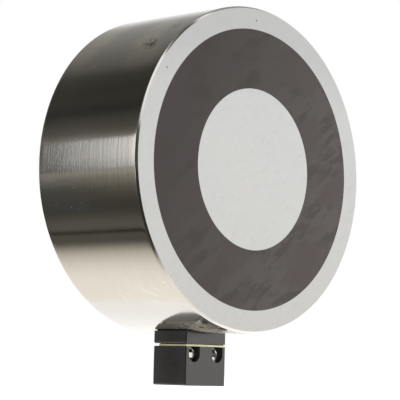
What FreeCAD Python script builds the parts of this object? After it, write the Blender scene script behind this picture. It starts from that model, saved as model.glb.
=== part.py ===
import FreeCAD, Part
import math
import os

# Holding electromagnet, in millimetres.
# The drum's axis lies along Y. The origin is the centre of the back face, the holding face looks
# along -Y, and the terminal block hangs under the drum, along -Z.

V = FreeCAD.Vector
EXACT = 0.001
OVERSHOOT = 1.0

# Steel pot
BODY_DIAMETER = 100.0
BODY_HEIGHT = 43.0
EDGE_CHAMFER = 0.6
GROOVE_DIAMETER = 86.2
POLE_DIAMETER = 49.5
BASE_THICKNESS = 10.0

# Threaded hole in the back, at its tapping size
MOUNT_TAP_DIAMETER = 8.5
MOUNT_TAP_DEPTH = 20.0
MOUNT_MOUTH_DIAMETER = 10.5
DRILL_POINT_ANGLE = 118.0

# Coil
RESIN_DEPTH = 5.0
BOBBIN_POLE_CLEARANCE = 0.2
BOBBIN_HUB_WALL = 1.2
BOBBIN_FLANGE_THICKNESS = 1.4
BOBBIN_RIM_CLEARANCE = 0.7
WINDING_BELOW_RIM = 1.4
WRAP_THICKNESS = 0.4

# Leads from the coil
LEAD_DIAMETER = 1.5
LEAD_CORE_DIAMETER = 0.9
LEAD_BEND_RADIUS = 1.2
LEAD_STUB = 0.5
LEAD_PAST_SCREW = 1.1
LEAD_HOLE_CLEARANCE = 0.2
LEAD_WALL_CLEARANCE = 0.1
LEAD_FLANGE_CLEARANCE = 0.05
SLEEVE_WALL = 0.3
SLEEVE_BORE_CLEARANCE = 0.05
SLEEVE_SHORT = 0.1

# Terminal block
BLOCK_WIDTH = 17.6
BLOCK_DEPTH = 14.4
SADDLE_DROP = 3.4
SADDLE_LIP = 0.25
SADDLE_LIP_WIDTH = 1.6
SADDLE_RELIEF = 0.25
SADDLE_RELIEF_WIDTH = 0.8
SADDLE_PAD_DIAMETER = 6.4
BOARD_THICKNESS = 0.5
BOARD_REAR_GAP = 2.6
HOUSING_HEIGHT = 12.1
HOUSING_REAR_WALL = 1.25
REAR_CORNER_RADIUS = 0.7
FRONT_CORNER_RADIUS = 0.4
SOFT_EDGE = 0.5
TOP_EDGE = 0.4

# Terminals
POLE_PITCH = 10.2
TUBE_DIAMETER = 4.5
TUBE_BORE = 3.3
TUBE_BORE_RISE = 0.15
TUBE_SETBACK = 1.95
TUBE_TO_LEAD = 0.3
TUBE_CLEARANCE = 0.1
TUBE_TO_BOARD = 0.3
TUBE_RIM_CHAMFER = 0.15

# Wire guards: bent strips that lie on the front clamp screws, under the supply wires
GUARD_THICKNESS = 0.3
GUARD_BEND = 0.25
GUARD_WIDTH = 2.2
GUARD_PAST_SCREW = 0.2
GUARD_TAB_RADIUS = 2.15
GUARD_TAB_RISE = 0.4
GUARD_TO_TUBE = 0.05
GUARD_OPENINGS = {"left": 1.0, "right": 2.2}

# Screws, their threads drawn at the pitch diameter
THREAD_DIAMETER = 2.675
CLAMP_SCREW_LENGTH = 6.0
CLAMP_SCREW_FROM_END = 2.1
CLAMP_HOLE_DIAMETER = 3.4
CLAMP_HOLE_LEAD_IN = 0.35
SCREW_END_CHAMFER = 0.3
SLOT_WIDTH = 0.6
SLOT_DEPTH = 0.8
FIXING_HOLE_DIAMETER = 3.2
FIXING_TAP_WEB = 1.9
FIXING_TIP_GAP = 1.4
FIXING_HEAD_DIAMETER = 5.5
FIXING_HEAD_HEIGHT = 2.0
FIXING_HEAD_CLEARANCE = 0.15
FIXING_RECESS = 4.6
WASHER_DIAMETER = 5.2
WASHER_THICKNESS = 0.8
WASHER_SLIT = 0.5
WASHER_SLIT_TILT = 20.0

# Places that follow from the sizes above
BODY_RADIUS = BODY_DIAMETER / 2
GROOVE_RADIUS = GROOVE_DIAMETER / 2
POLE_RADIUS = POLE_DIAMETER / 2
HUB_INNER_RADIUS = POLE_RADIUS + BOBBIN_POLE_CLEARANCE
HUB_RADIUS = HUB_INNER_RADIUS + BOBBIN_HUB_WALL
FLANGE_RADIUS = GROOVE_RADIUS - BOBBIN_RIM_CLEARANCE
WINDING_RADIUS = FLANGE_RADIUS - WINDING_BELOW_RIM
WRAP_RADIUS = WINDING_RADIUS + WRAP_THICKNESS

FACE_Y = -BODY_HEIGHT
FLOOR_Y = -BASE_THICKNESS
RESIN_Y = FACE_Y + RESIN_DEPTH
WINDING_REAR_Y = FLOOR_Y - BOBBIN_FLANGE_THICKNESS
WINDING_FRONT_Y = RESIN_Y + BOBBIN_FLANGE_THICKNESS

LEAD_Y = WINDING_REAR_Y - LEAD_FLANGE_CLEARANCE - LEAD_DIAMETER / 2
CHANNEL_REAR_Y = LEAD_Y + LEAD_DIAMETER / 2 + LEAD_WALL_CLEARANCE
BLOCK_REAR_Y = CHANNEL_REAR_Y + HOUSING_REAR_WALL
BLOCK_FRONT_Y = BLOCK_REAR_Y - BLOCK_DEPTH
SADDLE_Z = -BODY_RADIUS - SADDLE_DROP
BOARD_TOP_Z = SADDLE_Z - SADDLE_LIP
HOUSING_TOP_Z = BOARD_TOP_Z - BOARD_THICKNESS
HOUSING_BOTTOM_Z = HOUSING_TOP_Z - HOUSING_HEIGHT

POLE_X = POLE_PITCH / 2
SIDES = {"left": -POLE_X, "right": POLE_X}
TUBE_RADIUS = TUBE_DIAMETER / 2
CHANNEL_RADIUS = TUBE_RADIUS + TUBE_CLEARANCE
TUBE_Z = HOUSING_TOP_Z - TUBE_TO_BOARD - TUBE_RADIUS
BORE_Z = TUBE_Z + TUBE_BORE_RISE
BORE_TOP_Z = BORE_Z + TUBE_BORE / 2
LEAD_Z = BORE_TOP_Z - LEAD_CORE_DIAMETER / 2
LEAD_STUB_Y = LEAD_Y - LEAD_BEND_RADIUS - LEAD_STUB
TUBE_FRONT_Y = BLOCK_FRONT_Y + TUBE_SETBACK
TUBE_REAR_Y = LEAD_STUB_Y - TUBE_TO_LEAD
FRONT_SCREW_Y = TUBE_FRONT_Y + CLAMP_SCREW_FROM_END
REAR_SCREW_Y = TUBE_REAR_Y - CLAMP_SCREW_FROM_END
FIXING_Y = (FRONT_SCREW_Y + REAR_SCREW_Y) / 2
RECESS_Z = HOUSING_BOTTOM_Z + FIXING_RECESS
FIXING_TAP_DEPTH = BODY_RADIUS - GROOVE_RADIUS - FIXING_TAP_WEB
FIXING_TIP_Z = -BODY_RADIUS + FIXING_TAP_DEPTH - FIXING_TIP_GAP
LEAD_HOLE_RADIUS = LEAD_DIAMETER / 2 + LEAD_HOLE_CLEARANCE
SLEEVE_BORE_RADIUS = LEAD_DIAMETER / 2 + SLEEVE_BORE_CLEARANCE
SLEEVE_RADIUS = SLEEVE_BORE_RADIUS + SLEEVE_WALL


def turned(points):
    """A solid turned about the Y axis from a closed outline of (radius, y) points."""
    corners = [V(radius, y, 0) for radius, y in points]
    outline = Part.makePolygon(corners + corners[:1])
    return Part.Face(outline).revolve(V(0, 0, 0), V(0, 1, 0), 360)


def ring(inner, outer, y_low, y_high):
    """A plain turned ring between two radii and two heights along the drum's axis."""
    return turned([(inner, y_low), (outer, y_low), (outer, y_high), (inner, y_high)])


def rod(radius, start, end):
    """A round bar from one point to another."""
    along = end - start
    return Part.makeCylinder(radius, along.Length, start, along)


def upright(radius, x, y, z_low, z_high):
    """A round bar along Z."""
    return rod(radius, V(x, y, z_low), V(x, y, z_high))


def block(x_low, x_high, y_low, y_high, z_low, z_high):
    """A box between two corners."""
    return Part.makeBox(x_high - x_low, y_high - y_low, z_high - z_low, V(x_low, y_low, z_low))


def point_height(radius):
    """Height of a drill's point at the bottom of a blind hole."""
    return radius / math.tan(math.radians(DRILL_POINT_ANGLE / 2))


def body_outline():
    """Half section of the pot, from the blind hole's point round the back to the centre pole's face."""
    tap = MOUNT_TAP_DIAMETER / 2
    mouth = MOUNT_MOUTH_DIAMETER / 2
    edge = BODY_RADIUS - EDGE_CHAMFER
    back = [
        (0, -MOUNT_TAP_DEPTH - point_height(tap)),
        (tap, -MOUNT_TAP_DEPTH),
        (tap, tap - mouth),
        (mouth, 0),
        (edge, 0),
        (BODY_RADIUS, -EDGE_CHAMFER),
    ]
    front = [
        (BODY_RADIUS, FACE_Y + EDGE_CHAMFER),
        (edge, FACE_Y),
        (GROOVE_RADIUS, FACE_Y),
        (GROOVE_RADIUS, FLOOR_Y),
        (POLE_RADIUS, FLOOR_Y),
        (POLE_RADIUS, FACE_Y),
        (0, FACE_Y),
    ]
    return back + front


def blind_tap(radius, x, y, z_mouth, depth):
    """A blind hole that runs up from z_mouth, with its drill point."""
    top = z_mouth + depth
    hole = upright(radius, x, y, z_mouth - OVERSHOOT, top)
    point = Part.makeCone(radius, 0, point_height(radius), V(x, y, top), V(0, 0, 1))
    return hole.fuse(point)


def magnet_body():
    """Steel pot, turned in one piece, then cross-drilled under the terminal block."""
    pot = turned(body_outline())
    for x in SIDES.values():
        pot = pot.cut(upright(SLEEVE_RADIUS, x, LEAD_Y, -BODY_RADIUS - OVERSHOOT, -WRAP_RADIUS))
    return pot.cut(blind_tap(THREAD_DIAMETER / 2, 0, FIXING_Y, -BODY_RADIUS, FIXING_TAP_DEPTH))


def coil_bobbin():
    """Spool with two flanges, standing on the groove's floor."""
    return turned([
        (HUB_INNER_RADIUS, FLOOR_Y),
        (FLANGE_RADIUS, FLOOR_Y),
        (FLANGE_RADIUS, WINDING_REAR_Y),
        (HUB_RADIUS, WINDING_REAR_Y),
        (HUB_RADIUS, WINDING_FRONT_Y),
        (FLANGE_RADIUS, WINDING_FRONT_Y),
        (FLANGE_RADIUS, RESIN_Y),
        (HUB_INNER_RADIUS, RESIN_Y),
    ])


def coil_winding():
    """The wound copper, as one ring between the flanges."""
    return ring(HUB_RADIUS, WINDING_RADIUS, WINDING_FRONT_Y, WINDING_REAR_Y)


def winding_wrap():
    """Tape round the winding."""
    return ring(WINDING_RADIUS, WRAP_RADIUS, WINDING_FRONT_Y, WINDING_REAR_Y)


def potting_ring():
    """Cast resin, bonded to both walls of the groove and flush with the pole faces."""
    return ring(POLE_RADIUS, GROOVE_RADIUS, FACE_Y, RESIN_Y)


def lead_wire(x):
    """Insulated lead: down from the winding, round a bend and into the terminal, its end bared."""
    top_z = -math.sqrt(WRAP_RADIUS ** 2 - (abs(x) - LEAD_DIAMETER / 2) ** 2)
    bend_y = LEAD_Y - LEAD_BEND_RADIUS
    bend_z = LEAD_Z + LEAD_BEND_RADIUS
    reach = LEAD_BEND_RADIUS * math.sqrt(0.5)
    start = V(x, LEAD_Y, top_z)
    corner = V(x, LEAD_Y, bend_z)
    middle = V(x, bend_y + reach, bend_z - reach)
    level = V(x, bend_y, LEAD_Z)
    stub = V(x, LEAD_STUB_Y, LEAD_Z)
    path = Part.Wire([
        Part.LineSegment(start, corner).toShape(),
        Part.Arc(corner, middle, level).toShape(),
        Part.LineSegment(level, stub).toShape(),
    ])
    section = Part.Wire(Part.makeCircle(LEAD_DIAMETER / 2, start, V(0, 0, 1)))
    insulation = path.makePipeShell([section], True, True)
    tip = V(x, REAR_SCREW_Y - LEAD_PAST_SCREW, LEAD_Z)
    return insulation.fuse(rod(LEAD_CORE_DIAMETER / 2, stub, tip))


def lead_sleeve(x):
    """Insulating tube in the steel wall, just short of both of its faces."""
    near_x = abs(x) - SLEEVE_RADIUS
    far_x = abs(x) + SLEEVE_RADIUS
    inside_z = -math.sqrt(GROOVE_RADIUS ** 2 - near_x ** 2) - SLEEVE_SHORT
    outside_z = -math.sqrt(BODY_RADIUS ** 2 - far_x ** 2) + SLEEVE_SHORT
    tube = upright(SLEEVE_RADIUS, x, LEAD_Y, outside_z, inside_z)
    return tube.cut(upright(SLEEVE_BORE_RADIUS, x, LEAD_Y, outside_z, inside_z))


def is_upright(edge):
    """True for an edge that runs along Z."""
    box = edge.BoundBox
    return box.ZLength > EXACT and box.XLength < EXACT and box.YLength < EXACT


def lies_at(edge, z):
    """True for an edge that lies level, all of it at height z."""
    box = edge.BoundBox
    return abs(box.ZMin - z) < EXACT and abs(box.ZMax - z) < EXACT


def is_behind(edge, y):
    """True for an edge whose middle lies farther back than y."""
    return edge.CenterOfMass.y > y + EXACT


def rounded(solid, radius, chosen):
    """The solid with those edges rounded for which chosen(edge) is true."""
    return solid.makeFillet(radius, [edge for edge in solid.Edges if chosen(edge)])


def chamfered(solid, size, chosen):
    """The solid with those edges chamfered for which chosen(edge) is true."""
    return solid.makeChamfer(size, [edge for edge in solid.Edges if chosen(edge)])


def is_front_corner(edge):
    """True for an edge that stands on one of the block's two front corners."""
    place = edge.CenterOfMass
    aside = abs(abs(place.x) - BLOCK_WIDTH / 2)
    return math.hypot(aside, place.y - BLOCK_FRONT_Y) < EXACT


def block_bar(z_low, z_high, soft_levels):
    """The terminal block's outline as an upright bar, its rear corners rounder than its front ones.

    The level edges at the heights in soft_levels are rounded at the sides and the rear, and stay
    sharp at the front.
    """
    half = BLOCK_WIDTH / 2
    ahead_y = BLOCK_FRONT_Y - BLOCK_DEPTH
    longer = block(-half, half, ahead_y, BLOCK_REAR_Y, z_low, z_high)
    longer = rounded(longer, REAR_CORNER_RADIUS, lambda edge: is_upright(edge) and is_behind(edge, ahead_y))
    for z, radius in soft_levels.items():
        longer = rounded(longer, radius, lambda edge: lies_at(edge, z) and is_behind(edge, ahead_y))
    front = block(-half, half, BLOCK_FRONT_Y, BLOCK_REAR_Y + OVERSHOOT, z_low, z_high)
    front = rounded(front, FRONT_CORNER_RADIUS, lambda edge: is_upright(edge) and is_front_corner(edge))
    return longer.common(front)


def drum_bar(clearance):
    """The drum's outside as a plain bar, larger all round by a clearance."""
    return rod(BODY_RADIUS + clearance, V(0, FACE_Y, 0), V(0, 0, 0))


def saddle_lip():
    """The lip under the saddle, along the front and both sides, as far back as the board reaches."""
    half = BLOCK_WIDTH / 2 - SOFT_EDGE
    front_y = BLOCK_FRONT_Y + SOFT_EDGE
    rear_y = BLOCK_REAR_Y - BOARD_REAR_GAP
    rim = block(-half, half, front_y, rear_y, BOARD_TOP_Z, SADDLE_Z + SADDLE_LIP)
    half -= SADDLE_LIP_WIDTH
    front_y += SADDLE_LIP_WIDTH
    return rim.cut(block(-half, half, front_y, rear_y, BOARD_TOP_Z, SADDLE_Z + SADDLE_LIP))


def terminal_saddle():
    """Upper moulding: its seat is cut to the drum, and its lip and pad press on the board.

    Round the seat the rim stands a little off the drum.
    """
    bar = block_bar(SADDLE_Z, 0, {SADDLE_Z: SOFT_EDGE}).cut(drum_bar(SADDLE_RELIEF))
    half = BLOCK_WIDTH / 2 - SADDLE_RELIEF_WIDTH
    front_y = BLOCK_FRONT_Y + SADDLE_RELIEF_WIDTH
    rear_y = BLOCK_REAR_Y - SADDLE_RELIEF_WIDTH
    seat = block(-half, half, front_y, rear_y, SADDLE_Z + SADDLE_LIP, 0).cut(drum_bar(0))
    pad = upright(SADDLE_PAD_DIAMETER / 2, 0, FIXING_Y, BOARD_TOP_Z, SADDLE_Z + SADDLE_LIP)
    saddle = bar.fuse([seat, saddle_lip(), pad])
    saddle = saddle.cut(upright(FIXING_HOLE_DIAMETER / 2, 0, FIXING_Y, BOARD_TOP_Z, 0))
    for x in SIDES.values():
        saddle = saddle.cut(upright(LEAD_HOLE_RADIUS, x, LEAD_Y, BOARD_TOP_Z, 0))
    return saddle


def insulating_board():
    """Thin sheet between the mouldings, notched at its rear edge for the two leads."""
    half = BLOCK_WIDTH / 2
    rear_y = BLOCK_REAR_Y - BOARD_REAR_GAP
    board = block(-half, half, BLOCK_FRONT_Y, rear_y, HOUSING_TOP_Z, BOARD_TOP_Z)
    board = board.cut(upright(FIXING_HOLE_DIAMETER / 2, 0, FIXING_Y, HOUSING_TOP_Z, BOARD_TOP_Z))
    for x in SIDES.values():
        board = board.cut(upright(LEAD_HOLE_RADIUS, x, LEAD_Y, HOUSING_TOP_Z, BOARD_TOP_Z))
    return board


def wire_channel(x):
    """U-shaped channel, open at the front and at the top, that holds one terminal."""
    trough = rod(CHANNEL_RADIUS, V(x, BLOCK_FRONT_Y, TUBE_Z), V(x, CHANNEL_REAR_Y, TUBE_Z))
    left, right = x - CHANNEL_RADIUS, x + CHANNEL_RADIUS
    throat = block(left, right, BLOCK_FRONT_Y, CHANNEL_REAR_Y, TUBE_Z, HOUSING_TOP_Z)
    return trough.fuse(throat)


def screw_access(x, y):
    """Driver hole from the underside up to a channel, with a small lead-in at its mouth."""
    radius = CLAMP_HOLE_DIAMETER / 2
    mouth = V(x, y, HOUSING_BOTTOM_Z)
    hole = upright(radius, x, y, HOUSING_BOTTOM_Z, TUBE_Z)
    lead_in = Part.makeCone(radius + CLAMP_HOLE_LEAD_IN, radius, CLAMP_HOLE_LEAD_IN, mouth, V(0, 0, 1))
    return hole.fuse(lead_in)


def terminal_housing():
    """Lower moulding: two channels, four driver holes and a stepped hole for the fixing screw."""
    soft_levels = {HOUSING_BOTTOM_Z: SOFT_EDGE, HOUSING_TOP_Z: TOP_EDGE}
    housing = block_bar(HOUSING_BOTTOM_Z, HOUSING_TOP_Z, soft_levels)
    for x in SIDES.values():
        housing = housing.cut(wire_channel(x))
        for y in (FRONT_SCREW_Y, REAR_SCREW_Y):
            housing = housing.cut(screw_access(x, y))
    recess = FIXING_HEAD_DIAMETER / 2 + FIXING_HEAD_CLEARANCE
    housing = housing.cut(upright(recess, 0, FIXING_Y, HOUSING_BOTTOM_Z, RECESS_Z))
    return housing.cut(upright(FIXING_HOLE_DIAMETER / 2, 0, FIXING_Y, RECESS_Z, HOUSING_TOP_Z))


def is_at_tube_front(edge):
    """True for an edge of the terminal tube's front rim."""
    box = edge.BoundBox
    return abs(box.YMin - TUBE_FRONT_Y) < EXACT and abs(box.YMax - TUBE_FRONT_Y) < EXACT


def terminal_tube(x):
    """Plated tube with an off-centre bore, its thick lower wall tapped for two clamp screws."""
    front = V(x, TUBE_FRONT_Y, TUBE_Z)
    rear = V(x, TUBE_REAR_Y, TUBE_Z)
    rise = V(0, 0, TUBE_BORE_RISE)
    tube = rod(TUBE_RADIUS, front, rear)
    tube = tube.cut(rod(TUBE_BORE / 2, front + rise, rear + rise))
    tube = chamfered(tube, TUBE_RIM_CHAMFER, is_at_tube_front)
    for y in (FRONT_SCREW_Y, REAR_SCREW_Y):
        tube = tube.cut(upright(THREAD_DIAMETER / 2, x, y, TUBE_Z - TUBE_DIAMETER, TUBE_Z))
    return tube


def wire_guard(x, top_z):
    """Bent strip: its leaf lies on the front clamp screw, its round tab hangs before the tube."""
    rear_y = TUBE_FRONT_Y - GUARD_TO_TUBE
    front_y = rear_y - GUARD_THICKNESS
    end_y = FRONT_SCREW_Y + THREAD_DIAMETER / 2 + GUARD_PAST_SCREW
    half = GUARD_WIDTH / 2
    leaf = block(x - half, x + half, front_y, end_y, top_z - GUARD_THICKNESS, top_z)
    centre_z = top_z + GUARD_TAB_RISE
    tab = rod(GUARD_TAB_RADIUS, V(x, front_y, centre_z), V(x, rear_y, centre_z))
    beside = 2 * GUARD_TAB_RADIUS
    above = block(x - beside, x + beside, front_y - OVERSHOOT, rear_y + OVERSHOOT, top_z, top_z + beside)
    guard = leaf.fuse(tab.cut(above)).removeSplitter()
    return rounded(guard, GUARD_BEND, lambda edge: lies_at(edge, top_z) and not is_behind(edge, front_y))


def clamp_screw(x, y, tip_z):
    """Headless screw with chamfered ends and a driver slot, its tip at tip_z."""
    radius = THREAD_DIAMETER / 2
    foot_z = tip_z - CLAMP_SCREW_LENGTH
    shank = upright(radius, x, y, foot_z, tip_z)
    shank = chamfered(shank, SCREW_END_CHAMFER, lambda edge: lies_at(edge, foot_z) or lies_at(edge, tip_z))
    half = SLOT_WIDTH / 2
    return shank.cut(block(x - radius, x + radius, y - half, y + half, foot_z, foot_z + SLOT_DEPTH))


def clamp_screws():
    """Two screws in each terminal, with a wire guard on the front one.

    The rear screws hold the leads. The front ones stand open.
    """
    parts = {}
    rear_tip_z = LEAD_Z - LEAD_CORE_DIAMETER / 2
    for side, x in SIDES.items():
        guard_z = BORE_TOP_Z - GUARD_OPENINGS[side]
        parts["wire_guard_" + side] = wire_guard(x, guard_z)
        parts["clamp_screw_front_" + side] = clamp_screw(x, FRONT_SCREW_Y, guard_z - GUARD_THICKNESS)
        parts["clamp_screw_rear_" + side] = clamp_screw(x, REAR_SCREW_Y, rear_tip_z)
    return parts


def fixing_screw():
    """Slotted cheese-head screw, up through the block's middle into the drum."""
    seat_z = RECESS_Z - WASHER_THICKNESS
    head_z = seat_z - FIXING_HEAD_HEIGHT
    head_radius = FIXING_HEAD_DIAMETER / 2
    head = upright(head_radius, 0, FIXING_Y, head_z, seat_z)
    head = chamfered(head, SCREW_END_CHAMFER, lambda edge: lies_at(edge, head_z))
    half = SLOT_WIDTH / 2
    slot = block(-half, half, FIXING_Y - head_radius, FIXING_Y + head_radius, head_z, head_z + SLOT_DEPTH)
    shank = upright(THREAD_DIAMETER / 2, 0, FIXING_Y, seat_z, FIXING_TIP_Z)
    return head.cut(slot).fuse(shank)


def spring_washer():
    """Split washer under the fixing screw's head."""
    low_z = RECESS_Z - WASHER_THICKNESS
    outer = WASHER_DIAMETER / 2
    inner = FIXING_HOLE_DIAMETER / 2
    washer = upright(outer, 0, FIXING_Y, low_z, RECESS_Z)
    washer = washer.cut(upright(inner, 0, FIXING_Y, low_z, RECESS_Z))
    half = WASHER_SLIT / 2
    tall = WASHER_THICKNESS
    slit = block(0, outer, FIXING_Y - half, FIXING_Y + half, low_z - tall, RECESS_Z + tall)
    middle = V(0, FIXING_Y, low_z + tall / 2)
    slit.rotate(middle, V(1, 0, 0), WASHER_SLIT_TILT)
    return washer.cut(slit)


def all_parts():
    """Every sub-part by its node's name."""
    parts = {
        "magnet_body": magnet_body(),
        "coil_bobbin": coil_bobbin(),
        "coil_winding": coil_winding(),
        "winding_wrap": winding_wrap(),
        "potting_ring": potting_ring(),
        "terminal_saddle": terminal_saddle(),
        "insulating_board": insulating_board(),
        "terminal_housing": terminal_housing(),
        "fixing_screw": fixing_screw(),
        "spring_washer": spring_washer(),
    }
    for side, x in SIDES.items():
        parts["lead_wire_" + side] = lead_wire(x)
        parts["lead_sleeve_" + side] = lead_sleeve(x)
        parts["terminal_tube_" + side] = terminal_tube(x)
    parts.update(clamp_screws())
    return parts


os.makedirs("parts", exist_ok=True)
for name, shape in all_parts().items():
    solids = shape.Solids
    print(name, len(solids), round(shape.Volume, 2), shape.isValid())
    solid = solids[0] if len(solids) == 1 else Part.makeCompound(solids)
    solid.exportStep("parts/" + name + ".step")
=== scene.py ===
import math
import bmesh
import bpy
import numpy as np
from mathutils import Matrix, Vector

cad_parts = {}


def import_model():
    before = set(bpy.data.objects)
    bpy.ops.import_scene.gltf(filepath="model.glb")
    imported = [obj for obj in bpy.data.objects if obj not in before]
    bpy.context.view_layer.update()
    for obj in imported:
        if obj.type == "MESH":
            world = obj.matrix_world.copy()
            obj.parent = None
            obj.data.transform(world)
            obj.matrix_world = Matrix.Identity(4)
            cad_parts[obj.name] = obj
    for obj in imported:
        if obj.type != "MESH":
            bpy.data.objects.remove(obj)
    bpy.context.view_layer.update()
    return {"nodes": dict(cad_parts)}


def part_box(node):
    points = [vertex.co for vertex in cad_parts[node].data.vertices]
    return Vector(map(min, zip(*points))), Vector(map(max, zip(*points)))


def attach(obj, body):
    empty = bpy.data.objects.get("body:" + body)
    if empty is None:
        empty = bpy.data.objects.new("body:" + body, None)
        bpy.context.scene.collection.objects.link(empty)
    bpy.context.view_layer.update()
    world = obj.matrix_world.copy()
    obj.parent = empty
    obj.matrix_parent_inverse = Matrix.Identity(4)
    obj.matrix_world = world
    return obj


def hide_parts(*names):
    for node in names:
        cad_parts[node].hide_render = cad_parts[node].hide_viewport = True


# Holding electromagnet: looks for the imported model, in metres, in its own frame.
# The drum's axis lies along Y, its holding face looks along -Y and its terminal block hangs along -Z.

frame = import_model()
nodes = frame["nodes"]

MM = 0.001
MICRON = 0.000001

# Camera, at the photograph's viewing angle
CAMERA_PLACE = (-0.40397, -0.41066, -0.06132)
CAMERA_AIM = (-0.01042, -0.03037, -0.00969)
CAMERA_ROLL = math.radians(1.435)
CAMERA_LENS = 161.96
CAMERA_SENSOR = 36
CAMERA_CLIP = (0.01, 50)

# Floor and world
WHITE = (1, 1, 1, 1)
FLOOR_Z = -0.078
FLOOR_SIZE = 6.0
FLOOR_TONE = (0.80, 0.76, 0.72, 1)
FLOOR_ROUGHNESS = 0.9
FLOOR_LIFT_SEEN = 0.85
FLOOR_LIFT_REFLECTED = 0.62
WORLD_LIGHT = 0.38

# Lamps, each with its place and its aim in metres, its width and its power in watts
LAMPS = {
    "overhead": ((0.1, -0.3, 1.5), (0, 0, 0), 1.6, 5.5),
    "front": ((0.25, -1.5, 0.5), (0, 0, 0), 1.2, 10.5),
    "side": ((0.30, -0.17, 0.02), (0, -0.043, 0), 0.16, 0.32),
    "terminals": ((-0.06, -0.30, -0.055), (0, -0.0245, -0.056), 0.03, 0.19),
}

# What the polished side sees: studio bands round the drum's axis, from +X towards +Z in degrees,
# and how bright each is.
STUDIO_RADIUS = 3.0
STUDIO_START_Y = -0.3
STUDIO_END_Y = 5.0
STUDIO_STEPS = 360
STUDIO_BANDS = (
    (0, 0.85),
    (12, 0.88),
    (20, 1.0),
    (28, 0.95),
    (36, 0.66),
    (44, 0.41),
    (52.5, 0.33),
    (60.5, 0.295),
    (68.5, 0.26),
    (76.5, 0.23),
    (84.5, 0.185),
    (92.5, 0.15),
    (100, 0.106),
    (104, 0.062),
    (108.5, 0.043),
    (116.5, 0.035),
    (120.5, 0.027),
    (124.5, 0.033),
    (128.5, 0.036),
    (132.5, 0.026),
    (136.5, 0.022),
    (140.5, 0.038),
    (144.5, 0.055),
    (148.5, 0.063),
    (152.5, 0.082),
    (156.5, 0.13),
    (162, 0.16),
    (180, 0.25),
    (240, 0.07),
    (300, 0.60),
    (360, 0.85),
)

# A soft stripe on those bands: its middle angle and Y, its reach both ways, and its gain. The bands
# have fine steps along Y within a few reaches of it.
STRIPE_MIDDLE = (122, 3.30)
STRIPE_REACH = (18, 0.10)
STRIPE_GAIN = 0.6
STRIPE_REACHES = 4
STRIPE_STEPS = 40

# Bright things are nearly white, and dark ones are brown: the bright tint and the level it begins at.
DARK_TINT = (1.0, 0.93, 0.76)
STUDIO_TINT = ((1.0, 0.99, 0.97), 0.5)
SHEET_TINT = ((1.0, 0.955, 0.865), 0.9)
CARD_TINT = ((1.0, 0.985, 0.95), 0.01)

# A soft panel to the left, bright between two dark stretches: how bright it is along Y in metres, and
# the share of that which it has by the angle round the drum's axis in degrees.
PANEL_RADIUS = 2.8
PANEL_ALONG = (
    (-0.3, 0.03),
    (0.9, 0.03),
    (1.2, 1.20),
    (2.2, 1.0),
    (2.88, 1.0),
    (2.93, 0.0),
    (3.6, 0.0),
)
PANEL_ROUND = ((158, 0.2), (159.5, 1.0), (170, 1.0), (180, 0.66))
PANEL_STEPS_ALONG = 146
PANEL_STEPS_ROUND = 44

# A sheet on the floor to the left of the drum, bright near it and dark beyond, with a thin black line
# along it: how bright it is across X in metres
SHEET_ACROSS = (
    (-3.0, 0.30),
    (-1.5, 0.25),
    (-0.52, 0.14),
    (-0.277, 0.060),
    (-0.227, 0.052),
    (-0.189, 0.052),
    (-0.164, 0.054),
    (-0.143, 0.068),
    (-0.127, 0.095),
    (-0.113, 0.108),
    (-0.105, 0.096),
    (-0.103, 0.022),
    (-0.099, 0.022),
    (-0.097, 0.092),
    (-0.085, 0.078),
    (-0.0825, 0.10),
    (-0.0765, 0.25),
    (-0.069, 0.50),
    (-0.064, 0.62),
    (-0.058, 0.74),
    (-0.053, 0.83),
    (-0.043, 0.94),
    (-0.0345, 0.985),
    (-0.0264, 1.0),
    (-0.016, 1.03),
)

# The gain of its far part, by the place along Y of the drum's side that mirrors it, and how much of
# that gain it has across X
SHEET_GAIN = ((-0.25, 1.5), (-0.024, 1.5), (-0.020, 0.8), (-0.016, 0.5), (-0.008, 0.55), (0.5, 0.6))
SHEET_GAIN_ACROSS = ((-0.25, 1.0), (-0.18, 0.0))

# Its grid: lines across X between two distances to the left, besides the stops above, and the places
# along Y where the drum's side mirrors it
SHEET_NEAR = 0.04
SHEET_FAR = 2.9
SHEET_LINES = 40
SHEET_SEEN = (-0.25, -0.12, *np.linspace(-0.06, 0.02, 41), 0.1, 0.5)
SHEET_LIFT = 0.0001

# A sheet on the floor in front of the drum, for its chamfer and its pole faces to mirror: how bright it
# is across X and along Y in metres
FRONT_SHEET_ACROSS = (
    (-3.0, 0.03),
    (-0.075, 0.03),
    (-0.062, 0.50),
    (-0.045, 0.92),
    (0.10, 0.95),
    (0.30, 0.65),
    (3.0, 0.65),
)
FRONT_SHEET_ALONG = ((-3.0, 1.0), (-0.05, 1.0))

# Steps of the stage's grids where nothing finer is named
GRID_STEPS = 24

# In front, each with its brightness by azimuth from -Y towards +X and by elevation, in degrees: dark
# flags stand about the camera, with a gap that the chamfer mirrors, and a pale panel to the right.
FRONT_RADIUS = 2.5
FRONT_STEPS = 60
FRONT_PIECES = {
    "camera_flag": (
        ((-88, 0.03), (-50, 0.03), (-47, 0.14), (-42, 0.14), (-38, 0.03), (-4, 0.03), (5, 0.25)),
        ((-2, 1.0), (22, 1.0)),
    ),
    "upper_flag": (
        ((-88, 0.15), (-52, 0.15), (-48, 1.0), (-24, 1.0), (-16, 0.28), (5, 0.28)),
        ((22, 1.0), (60, 1.0)),
    ),
    "top_flag": (
        ((-30, 0.10), (45, 0.10)),
        ((60, 1.0), (86, 1.0)),
    ),
    "front_panel": (
        ((5, 0.25), (14, 1.05), (35, 1.32), (60, 1.44), (80, 1.44)),
        ((-1, 0.82), (4, 1.06), (8, 1.0), (14, 0.72), (45, 0.45)),
    ),
}

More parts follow.
